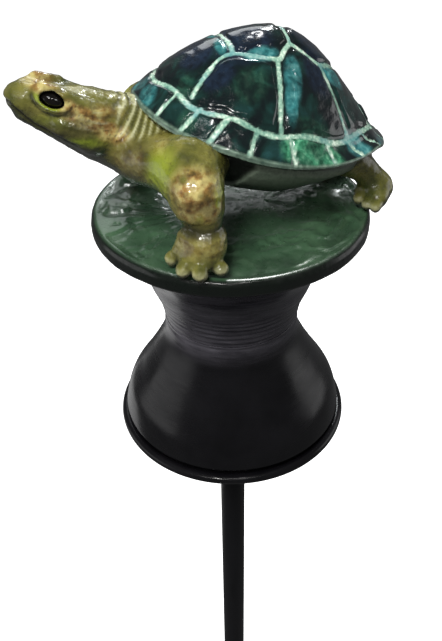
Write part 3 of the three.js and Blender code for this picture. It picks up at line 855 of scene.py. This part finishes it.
class Clay:
    """A sampled distance field of the left half of the turtle, to which shapes are joined and cut."""

    def __init__(self, corner, far, step):
        self.step = step
        self.corner = np.array(corner, float)
        self.count = np.ceil((np.array(far) - corner) / step).astype(int) + 1
        self.field = np.full(self.count, 4.0, np.float32)

    def window(self, centre, reach):
        """The samples within reach of a centre, as slices and as points."""
        first = np.clip(np.floor((centre - reach - self.corner) / self.step).astype(int), 0, self.count)
        last = np.clip(np.ceil((centre + reach - self.corner) / self.step).astype(int) + 1, 0, self.count)
        axes = [self.corner[i] + self.step * np.arange(first[i], last[i]) for i in range(3)]
        return tuple(map(slice, first, last)), np.stack(np.meshgrid(*axes, indexing="ij"), -1)

    def join(self, shape, centre, reach, width, sign=1):
        """Blends a shape into the clay, or cuts it out where the sign is -1."""
        where, points = self.window(np.asarray(centre, float), reach + width + 1.5)
        self.field[where] = sign * blend_in(sign * self.field[where], shape(points), width)

    def limb(self, a, b, width):
        a, b = np.array(a, float), np.array(b, float)
        centre = (a[:3] + b[:3]) / 2
        reach = np.linalg.norm(a[:3] - b[:3]) / 2 + max(a[3], b[3])
        self.join(lambda p: round_cone(p, a, b), centre, reach, width)

    def chain(self, balls, width):
        for a, b in zip(balls, balls[1:]):
            self.limb(a, b, width)

    def mesh(self):
        """The surface of both halves, which meet in the plane x = 0."""
        both = np.concatenate([self.field[:0:-1], self.field])
        origin = self.corner.copy()
        origin[0] = -self.corner[0] - self.step * (self.count[0] - 1)
        return surface_net(both, origin, self.step)


# The head's own frame: (x, forward, up) from the back of the skull.
HEAD = np.array([0, -41.0, 34.5])
HEAD_RAISE = np.radians(30)
AHEAD = np.array([0, -np.cos(HEAD_RAISE), np.sin(HEAD_RAISE)])
CROWN = np.array([0, np.sin(HEAD_RAISE), np.cos(HEAD_RAISE)])


def in_head(p):
    away = p - HEAD
    return xyz(away[..., 0], away @ AHEAD, away @ CROWN)


def from_head(q):
    q = np.asarray(q, float)
    return HEAD + q[..., :1] * [1, 0, 0] + q[..., 1:2] * AHEAD + q[..., 2:3] * CROWN


EYE = np.array([5.7, 13.3, 2.5])
EYE_RADII = np.array([3.3, 1.95, 2.3])  # along the lids, across them, outwards
EYE_OUT = np.array([0.86, 0.26, 0.44]) / np.linalg.norm([0.86, 0.26, 0.44])
EYE_ALONG = np.array([0, 1, 0.02]) - EYE_OUT * (EYE_OUT @ [0, 1, 0.02])
EYE_ALONG /= np.linalg.norm(EYE_ALONG)
EYE_ACROSS = np.cross(EYE_OUT, EYE_ALONG)
EYE_AXES = np.stack([EYE_ALONG, EYE_ACROSS, EYE_OUT])


def lid_point(angle, grow, out):
    """A point round the left eye in the head's frame."""
    along, across, _ = EYE_RADII + grow
    place = np.array([along * np.cos(angle), across * np.sin(angle), out])
    return EYE + place @ EYE_AXES


def mouth_height(forward):
    return -6.2 + 3.0 * smooth(13, 24, forward)


def shape_head(clay):
    centre = from_head([0, 8, 0])

    def add(a, b, reach, width):
        clay.join(lambda p: round_cone(in_head(p), a, b), centre, reach, width)

    clay.join(lambda p: ellipsoid(in_head(p), (0, -0.2, -0.1), (9.0, 11.6, 8.2)), centre, 22, 2.0)
    add((0, 6.5, -0.8, 7.6), (0, 18.6, -1.0, 4.7), 24, 2.0)
    add((1.2, 17.5, -0.4, 3.8), (0.9, 21.0, -1.5, 3.0), 24, 1.5)
    add((5.4, 8, -2.2, 3.7), (6.0, -1, -2.2, 4.6), 20, 2.5)
    add((2.4, 19.6, 1.6, 1.5), (4.4, 16.6, 3.7, 1.9), 22, 1.2)
    add((4.4, 16.6, 3.7, 1.9), (5.7, 11.6, 4.1, 2.1), 22, 1.2)
    add((5.7, 11.6, 4.1, 2.1), (6.2, 5.0, 3.4, 2.6), 20, 2.0)
    add((0, -4, -4.4, 6.7), (0, 17.6, -4.0, 3.4), 24, 0.8)
    low_lid = [lid_point(a, 0.9, 0.5) for a in np.radians(np.linspace(-170, -10, 12))]
    high_lid = [lid_point(a, 1.0, 0.3) for a in np.radians(np.linspace(-12, 192, 14))]
    for lid, size in ((low_lid, 0.85), (high_lid, 0.95)):
        for a, b in zip(lid, lid[1:]):
            add((*a, size), (*b, size), 21, 0.7)
    socket_radii = EYE_RADII + [0.15, 0.1, 0.3]
    clay.join(lambda p: ellipsoid((in_head(p) - EYE) @ EYE_AXES.T, (0, 0, 0.6), socket_radii),
              from_head(EYE), 5, 0.3, sign=-1)


def shape_body(clay):
    clay.join(lambda p: ellipsoid(p, (0, 6, 22), (20, 30, 9)), (0, 6, 22), 31, 2)
    clay.chain([(0, -10, 23, 14), (0, -24, 26.3, 11.8), (0, -34, 29.8, 9.4), (0, -41, 33.5, 8.8)], 4)
    clay.chain([(0, 34, 16, 6), (0, 43, 9.5, 3.4), (0, 47, 8.3, 2.0)], 3)


def shape_front_leg(clay):
    clay.chain([(14, -14, 26, 10), (21.5, -18, 25.5, 8.4), (27.4, -19.5, 22.4, 7.4), (30, -19, 17.4, 6.8)], 3)
    clay.limb((8, -28, 25.2, 8.6), (20, -21.5, 25.2, 7.8), 4)
    clay.limb((31.3, -18.2, 13.4, 6.0), (33.0, -18.8, 7.6, 6.2), 0.5)
    clay.limb((31.0, -20.6, 11.6, 4.8), (30.4, -24.4, 5.4, 3.2), 1.5)
    clay.join(lambda p: ellipsoid(p, (33.4, -20.3, 4.2), (5.8, 6.0, 4.2)), (33.4, -20.3, 4.2), 8, 1.5)
    toes = [[(31.2, -23.4, 4.2, 2.9), (29.5, -26.2, 3.6, 2.2), (29.0, -27.2, 2.7, 2.35)],
            [(34.4, -23.2, 4.2, 2.8), (35.3, -25.3, 3.6, 2.15), (35.6, -26.0, 2.6, 2.4)],
            [(36.6, -21.4, 4.0, 2.7), (38.4, -22.1, 3.4, 2.1), (39.2, -22.3, 2.6, 2.35)],
            [(36.2, -17.6, 3.8, 2.7), (37.6, -16.5, 3.2, 2.05), (38.2, -16.0, 2.5, 2.25)]]
    for toe in toes:
        clay.chain(toe, 0.35)


def shape_rear_leg(clay):
    clay.chain([(10, 26, 20, 7), (12.8, 33, 16.5, 5.4), (14.0, 38.6, 12, 4.3)], 3)
    clay.limb((14.0, 39.0, 11.2, 4.1), (15.4, 43.0, 6.4, 4.6), 1.0)
    clay.chain([(15.6, 43.5, 5.0, 4.5), (15.0, 39.8, 3.9, 3.7)], 1.2)
    clay.limb((15.6, 43.5, 5.0, 4.4), (18.8, 41.6, 4.1, 3.8), 1.2)
    toes = [[(14.6, 40.0, 3.8, 2.6), (13.2, 38.4, 3.0, 1.85)],
            [(15.6, 39.6, 3.8, 2.6), (16.2, 36.9, 2.9, 1.9)],
            [(18.4, 40.6, 3.8, 2.6), (20.0, 37.7, 2.8, 1.9)],
            [(19.4, 41.6, 3.8, 2.6), (22.6, 39.4, 2.7, 1.85)]]
    for toe in toes:
        clay.chain(toe, 0.35)


def below_shell(p):
    """How far a point is above the shell's inner face: negative under it and beyond its rim."""
    q = from_deck(p)
    back = q[..., 1] / SHELL_LENGTH
    side = q[..., 0] / SHELL_WIDTH
    k = np.hypot(side, back)
    inner = dome_height(np.minimum(k, 1)) - sag(side, back) - saddle(side, back) - 2.0
    return np.where(k < 0.985, (q[..., 2] - inner) * 0.7, -4.0)


def near(p, centre, radii):
    """1 at the centre, fading to 0 outside an oval."""
    centre = np.asarray(centre, float)
    folded = xyz(np.abs(p[:, 0]), p[:, 1], p[:, 2])
    return smooth(1.2, 0.35, np.linalg.norm((folded - centre) / radii, axis=1))


def turtle_skin(paint):
    """Head, neck, legs and tail in one skin: modelled, then folded and creased, then given paint masks."""
    clay = Clay((0, -65, -0.9), (45.5, 51, 50), 0.5)
    shape_body(clay)
    shape_front_leg(clay)
    shape_rear_leg(clay)
    shape_head(clay)
    everywhere = clay.window(np.array([22, -7, 25]), 90)[1]
    clay.field = np.maximum(clay.field, below_shell(everywhere))
    clay.field = np.maximum(clay.field, 0.3 - everywhere[..., 2])
    vertices, faces = clay.mesh()
    vertices = relaxed(vertices, faces, 2)
    out = normals(vertices, faces)
    x, y, z = vertices.T
    head = in_head(vertices)
    folded = xyz(np.abs(head[:, 0]), head[:, 1], head[:, 2])
    _, forward, up = folded.T
    local = (folded - EYE) @ EYE_AXES.T
    to_eye = np.linalg.norm(local / EYE_RADII, axis=1)
    round_eye = np.where(local[:, 2] > -1.5, to_eye, 9)

    # Oval masks on the skin; those made after the folds are raised follow the raised skin.
    spot = lambda centre, radii: near(vertices, centre, radii)
    face_spot = lambda centre, radii: near(vertices, from_head(centre), radii)

    on_head = smooth(-4, 4, forward)
    lumps = 0.28 * fractal(vertices, 5.0, 71, 3) * (1 - 0.6 * on_head) + 0.12 * fractal(vertices, 1.7, 72, 2)
    from_shell = -y * 0.8 + z * 0.3 - np.abs(x) * 0.35 + 1.2 * noise(vertices, 6, 73)
    neck_top = smooth(-36, -32.5, y + 0.2 * np.abs(x)) * smooth(28, 33, z) * smooth(16.5, 13, np.abs(x))
    pleats = neck_top * folds(from_shell, 2.1)
    behind_eye = face_spot((8.5, 2.5, 1.5), (6, 9.5, 4.5))
    fans = behind_eye * folds(up * 0.9 + 0.25 * forward + 0.8 * noise(vertices, 4, 74), 2.0)
    wrist = spot((31.2, -19, 13.6), (12, 12, 2.9))
    rings = wrist * folds(z + 0.9 * noise(vertices, 5, 75), 2.2)
    knee = spot((32, -20, 20), (10, 10, 10))
    crackle = (0.35 + knee) * np.abs(noise(vertices, 2.4, 76))
    lip_gap = up - mouth_height(forward)
    muzzle = smooth(1.5, 5, forward) * smooth(-0.4, 0.2, -np.abs(lip_gap) + 3)
    mouth = muzzle * hump(lip_gap, 0, 0.42)
    upper_lip = muzzle * hump(lip_gap, 1.1, 0.8)
    nostril = face_spot((1.7, 22.9, 2.2), (0.9, 0.9, 0.8))
    brow_fold = face_spot((7.2, 13, 6.0), (3, 6, 0.6))
    rise = (lumps + 0.26 * pleats - 0.12 * neck_top + 0.3 * fans - 0.3 * rings - 0.9 * wrist
            - 0.45 * crackle - 0.6 * mouth + 0.3 * upper_lip - 0.7 * nostril - 0.25 * brow_fold)
    rise *= smooth(1.0, 1.35, round_eye)
    rise *= smooth(0.4, 1.2, z)
    vertices = vertices + out * rise[:, None]

    mottle = 0.5 + 0.5 * noise(vertices, 4, 77)
    streak = to_path(folded, ((8.4, 9.2, 2.4), (9.6, 2, 2.0), (9.4, -6, 1.0), (9, -13, 0)))
    stripe = smooth(3.6, 1.2, streak + 0.9 * noise(vertices, 2.5, 78))
    snout_top = smooth(10, 17, forward) * smooth(2.0, 4.2, up) * 0.8
    neck_side = spot((12, -31, 27), (9, 9, 6))
    knee_warm = spot((33.6, -21.0, 25), (8, 7.5, 6.5))
    flecks = smooth(0.2, 0.6, 0.5 + 0.5 * noise(vertices, 3, 80))
    knee_brown = 0.85 * spot((35, -20, 20.0), (7, 9, 4.2)) * flecks
    warm = np.maximum.reduce([
        snout_top, knee_warm * smooth(0.1, 0.5, mottle), 0.75 * neck_side * mottle, knee_brown,
        0.7 * face_spot((8, 1, 4), (5, 9, 3)) * mottle, 0.9 * stripe, 0.35 * spot((33, -20, 9), (9, 9, 4)),
        0.8 * spot((17, -25, 31), (7, 5, 3)) * mottle])
    lime = np.maximum.reduce([
        0.35 * face_spot((7, 11, -2.5), (5, 8, 2.4)), face_spot((7.5, 2, -4.2), (4, 9, 2.4)),
        0.75 * spot((23, -27, 26), (7, 6, 9)), spot((34, -13.5, 22), (4, 4, 6)),
        0.9 * hump(round_eye, 1.45, 0.22) * smooth(0.6, -0.6, local[:, 1])])
    claws = ((28.6, -28.4, 2.5), (35.8, -27.4, 2.5), (40.4, -22.6, 2.5), (39.2, -15.2, 2.4),
             (12.4, 37.4, 2.6), (16.3, 35.8, 2.6), (20.6, 36.6, 2.6), (23.8, 38.6, 2.6))
    on_toe = np.maximum.reduce([spot(claw, (4.5, 4.5, 4)) for claw in claws])
    pale = np.maximum.reduce([
        0.75 * pleats * smooth(0.55, 1, pleats), 0.5 * smooth(3.2, 2.2, z),
        0.8 * smooth(0.75, 1.0, fans) * mottle, 0.5 * (smooth(4.6, 2.6, z) * smooth(0.45, 0.9, on_toe))])
    # Painted shade: skin that faces down, the lower jaw below the mouth and the chest get the dark "under"
    # paint.
    under = np.maximum.reduce([
        smooth(-0.15, -0.75, out[:, 2]) * smooth(12, 16, z),
        smooth(0.6, -1.2, lip_gap) * smooth(-10, -4, forward) * 0.9,
        spot((8, -31, 18.5), (15, 15, 8.5)) * 0.85])
    # Painted shade on skin that faces down close to the deck.
    ground_shade = smooth(0.0, -0.25, out[:, 2]) * smooth(5.5, 4, z)
    lines = np.abs(np.sin(np.pi * (up + 0.15 * forward + noise(vertices, 4, 74)) / 1.3))
    # Painted shade in creases and hollows: the wrist, the neck's folds and pleat valleys, behind the eye and
    # under the lower lid, the brow, the crackle, the nostrils, the valleys between the fans, the rear leg
    # under the shell and skin under the feet. The knee's brown flecks and the lines in the stripe are dark
    # paint.
    crease_shade = np.maximum.reduce([
        0.95 * wrist, 0.7 * spot((8.5, -49, 36), (8, 13, 4)), 0.6 * spot((15, -31, 28), (8, 8, 6)),
        0.8 * face_spot((8.4, 8.6, 1.2), (3, 2.6, 1.3)), 0.8 * smooth(0.3, 0.0, lines) * stripe,
        0.6 * brow_fold, 0.25 * spot((14, 40, 12), (12, 12, 8)) * smooth(3.5, 6, z),
        0.5 * crackle, 0.8 * nostril, 0.8 * knee_brown, 0.75 * ground_shade,
        0.6 * neck_top * smooth(0.35, 0.0, pleats), 0.6 * behind_eye * smooth(0.4, 0, fans),
        0.9 * hump(round_eye, 1.72, 0.12) * smooth(0.4, -0.4, local[:, 1])])
    ink = np.maximum(0.9 * mouth, smooth(1.34, 1.14, round_eye + 0.08 * noise(vertices, 1, 79)))
    attributes = {"warm": warm, "lime": lime, "pale": pale, "under": under, "crease_shade": crease_shade, "ink": ink}
    make("turtle_skin", vertices + DECK_TOP * UP, faces, "stake", ["turtle_body"], paint,
         {key: np.clip(values, 0, 1) for key, values in attributes.items()})


def eyes(gloss):
    """Almond-shaped eyeballs between the lids; the right one mirrors the left."""
    rows, columns = 40, 64
    polar = np.linspace(0, np.pi, rows)[1:-1]
    angle = np.arange(columns) * 2 * np.pi / columns
    ball = xyz(np.outer(np.sin(polar), np.cos(angle)), np.outer(np.sin(polar), np.sin(angle)),
               np.outer(np.cos(polar), np.ones(columns))).reshape(-1, 3)
    almond = ball * (1 - 0.12 * np.abs(ball[:, :1]) ** 3 * [0, 1, 0])
    faces = grid_faces(len(polar), columns) + fan(0, columns, len(ball), False)
    faces += fan(len(ball) - columns, columns, len(ball) + 1, True)
    shape = np.vstack([almond, [[0, 0, 1], [0, 0, -1]]]) * (EYE_RADII - 0.05)
    left = from_head(EYE + shape @ EYE_AXES) + DECK_TOP * UP
    make("left_eye_look", left, faces, "stake", ["left_eye"], gloss)
    flipped = [face[::-1] for face in faces]
    make("right_eye_look", left * [-1, 1, 1], flipped, "stake", ["right_eye"], gloss)


# ---- Studio -------------------------------------------------------------------------------------

def camera():
    """The view of the photo, from above the turtle's left side."""
    bearing, dip, roll = np.radians(72.0), np.radians(37.48), np.radians(1.09)
    place, lens_mm, nearest = (209.5, -71.9, 269.7), 44.17, 0.01
    made = placed("camera", bpy.data.cameras.new("camera"))
    ahead = Vector((-np.sin(bearing) * np.cos(dip), np.cos(bearing) * np.cos(dip), -np.sin(dip)))
    level = ahead.cross(Vector((0, 0, 1))).normalized()
    upright = level.cross(ahead)
    right = level * np.cos(roll) - upright * np.sin(roll)
    top = upright * np.cos(roll) + level * np.sin(roll)
    made.matrix_world = Matrix((right, top, -ahead)).transposed().to_4x4()
    made.location = Vector(place) * MM
    made.data.lens = lens_mm
    made.data.clip_start = nearest
    bpy.context.scene.camera = made


def softbox(name, place, size, power, colour=(1, 1, 1), mirrored=True):
    """A rectangular lamp that faces the part's upper end and is seen only in reflections, if at all."""
    target = Vector((0, 0, 150)) * MM
    lamp = bpy.data.lights.new(name, "AREA")
    lamp.shape = "RECTANGLE"
    lamp.size, lamp.size_y = size[0] * MM, size[1] * MM
    lamp.energy = power
    lamp.color = colour
    made = placed(name, lamp)
    made.location = Vector(place) * MM
    made.rotation_euler = (made.location - target).to_track_quat("Z", "Y").to_euler()
    made.visible_glossy = mirrored
    made.visible_camera = False


def shine_on(lamp, *pieces):
    """Lets a lamp reach only the named pieces."""
    lit = bpy.data.collections.new(lamp + "_reach")
    for piece in pieces:
        lit.objects.link(bpy.data.objects[piece])
    bpy.data.objects[lamp].light_linking.receiver_collection = lit


def floor():
    """A sheet of pale paper under the stake's point, bright enough to run into the background."""
    half_size, count = 4000.0, 21
    line = np.linspace(-half_size, half_size, count)
    x, y = np.meshgrid(line, line)
    vertices = xyz(x, y, np.full_like(x, low("stake_rod")[2])).reshape(-1, 3) * MM
    row, column = np.meshgrid(np.arange(count - 1), np.arange(count - 1), indexing="ij")
    start = (row * count + column).ravel()
    faces = np.stack([start, start + 1, start + count + 1, start + count], -1).tolist()
    mesh = bpy.data.meshes.new("floor")
    mesh.from_pydata(vertices.tolist(), [], faces)
    p = Paint("floor_paper", Roughness=0.9, Emission_Color=(1, 1, 1, 1), Emission_Strength=0.95)
    paper = p.ramp(p.noise(90, 3), (0.3, (0.8, 0.8, 0.79)), (0.7, (0.84, 0.84, 0.84)))
    mesh.materials.append(p.finish(paper))
    made = placed("floor", mesh)
    made.visible_glossy = False
    made.visible_diffuse = False


def studio():
    """White to the camera, nearly dark to the part, and lit by softboxes."""
    world = bpy.data.worlds.new("studio")
    world.use_nodes = True
    tree = world.node_tree
    background = tree.nodes["Background"]
    background.inputs["Color"].default_value = (0.97, 0.985, 1.0, 1)
    seen = tree.nodes.new("ShaderNodeLightPath").outputs["Is Camera Ray"]
    strength = tree.nodes.new("ShaderNodeMapRange")
    strength.inputs["To Min"].default_value = 0.1
    strength.inputs["To Max"].default_value = 1.0
    tree.links.new(seen, strength.inputs["Value"])
    tree.links.new(strength.outputs[0], background.inputs["Strength"])
    bpy.context.scene.world = world
    bpy.context.scene.view_settings.view_transform = "Standard"
    softbox("key", (300, -300, 720), (300, 300), 7.5, (1, 0.99, 0.96), mirrored=False)
    softbox("back", (-480, 330, 560), (500, 500), 5, (0.97, 0.99, 1.0), mirrored=False)
    softbox("front", (490, -60, 590), (50, 40), 0.35, (1, 0.98, 0.95))
    softbox("spark", (520, -330, 520), (50, 50), 0.8, (1, 0.98, 0.95))
    softbox("window", (-500, 310, 640), (60, 50), 0.8, (0.94, 0.98, 1.0))
    softbox("skylight", (-280, 150, 680), (70, 40), 0.12)
    softbox("ripple", (-130, 60, 730), (360, 260), 11)
    softbox("glint", (337, -166, 778), (50, 50), 0.25)
    softbox("catch_left", (340, -280, 760), (260, 140), 1.2)
    softbox("catch_right", (530, 250, 540), (200, 120), 0.7)
    softbox("far", (-640, 140, 610), (460, 260), 0.6, (0.95, 0.98, 1.0))
    softbox("left", (-264, -176, -171), (260, 260), 0.15)
    softbox("side", (-110, -600, 120), (560, 260), 0.32)
    softbox("right", (80, 560, 160), (380, 300), 0.3)
    floor()


# ---- The whole scene ----------------------------------------------------------------------------

steel = zinc_steel()
camera()
studio()
stake(stake_coat())
small_parts(steel, bushing_nylon(), insert_brass())
for name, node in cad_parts.items():
    if name.endswith("_foot_pin") or name in ("stop_collar", "collar_grub_screw"):
        for place in node.material_slots:
            place.material = steel
spool(spool_black())
disc(disc_green())
carapace(shell_enamel())
plastron(belly_paint())
turtle_skin(skin_paint())
eyes(eye_gloss())
both_eyes = ("left_eye_look", "right_eye_look")
bpy.data.objects["ripple"].visible_diffuse = False
shine_on("ripple", "base_disc_look")
shine_on("left", "spool_bell_look", "spool_neck_look", "spool_base_dish_look", "stake_rod_look")
shine_on("glint", "carapace_look")
for lamp in ("catch_left", "catch_right"):
    shine_on(lamp, *both_eyes)
for lamp in ("front", "spark"):
    shine_on(lamp, "carapace_look", "turtle_skin", *both_eyes, "plastron_look", "base_disc_look",
             "spool_base_dish_look")
